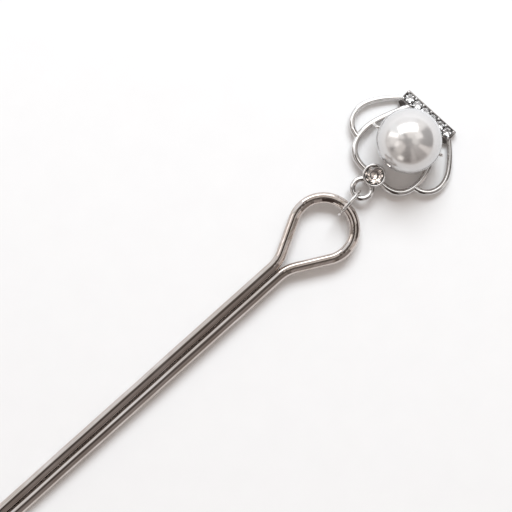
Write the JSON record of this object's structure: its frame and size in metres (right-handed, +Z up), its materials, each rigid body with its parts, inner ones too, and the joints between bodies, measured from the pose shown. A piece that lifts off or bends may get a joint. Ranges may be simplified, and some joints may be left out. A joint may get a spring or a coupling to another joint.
{
  "type": "hair pin",
  "caption": "Folded-wire hair pin with a teardrop eye and a hanging crown charm set with a pearl and clear stones.",
  "frame": {"origin": "under the middle of the whole object, on the surface that it lies on", "axes": "+X along the pin from its tips to the charm, +Z up from the surface, through the pearl's open side"},
  "size_m": [0.1392, 0.0182, 0.01],
  "materials": {
    "polished_metal": "mirror-polished silver-grey plating",
    "pearl_coat": "glossy white pearl coat",
    "clear_stone": "faceted clear rhinestone"
  },
  "bodies": {
    "pin": {"pin_wire": "polished_metal"},
    "jump_ring": {"jump_ring": "polished_metal"},
    "charm": {"eyelet": "polished_metal", "finial_cup": "polished_metal", "finial_stone": "clear_stone", "arch_left": "polished_metal", "petal_left": "polished_metal", "arch_right": "polished_metal", "petal_right": "polished_metal", "band": "polished_metal", "band_stone_1": "clear_stone", "band_stone_2": "clear_stone", "band_stone_3": "clear_stone", "band_stone_4": "clear_stone", "band_stone_5": "clear_stone", "band_stone_6": "clear_stone", "pearl_wire": "polished_metal"},
    "pearl": {"pearl": "pearl_coat"}
  },
  "joints": [
    {"name": "ring_swing", "type": "hinge", "parent": "pin", "child": "jump_ring", "pos_m": [0.04949, -0.00128, 0.00165], "axis": [-0.0523, 0.9986, 0], "range_deg": [-105, 105]},
    {"name": "charm_swing", "type": "hinge", "parent": "jump_ring", "child": "charm", "pos_m": [0.05244, -0.00097, 0.00165], "axis": [0, 0, 1], "range_deg": [-60, 60]},
    {"name": "pearl_spin", "type": "hinge", "parent": "charm", "child": "pearl", "pos_m": [0.06315, -0.00023, 0.005], "axis": [0.4131, -0.9107, 0], "continuous": true}
  ]
}
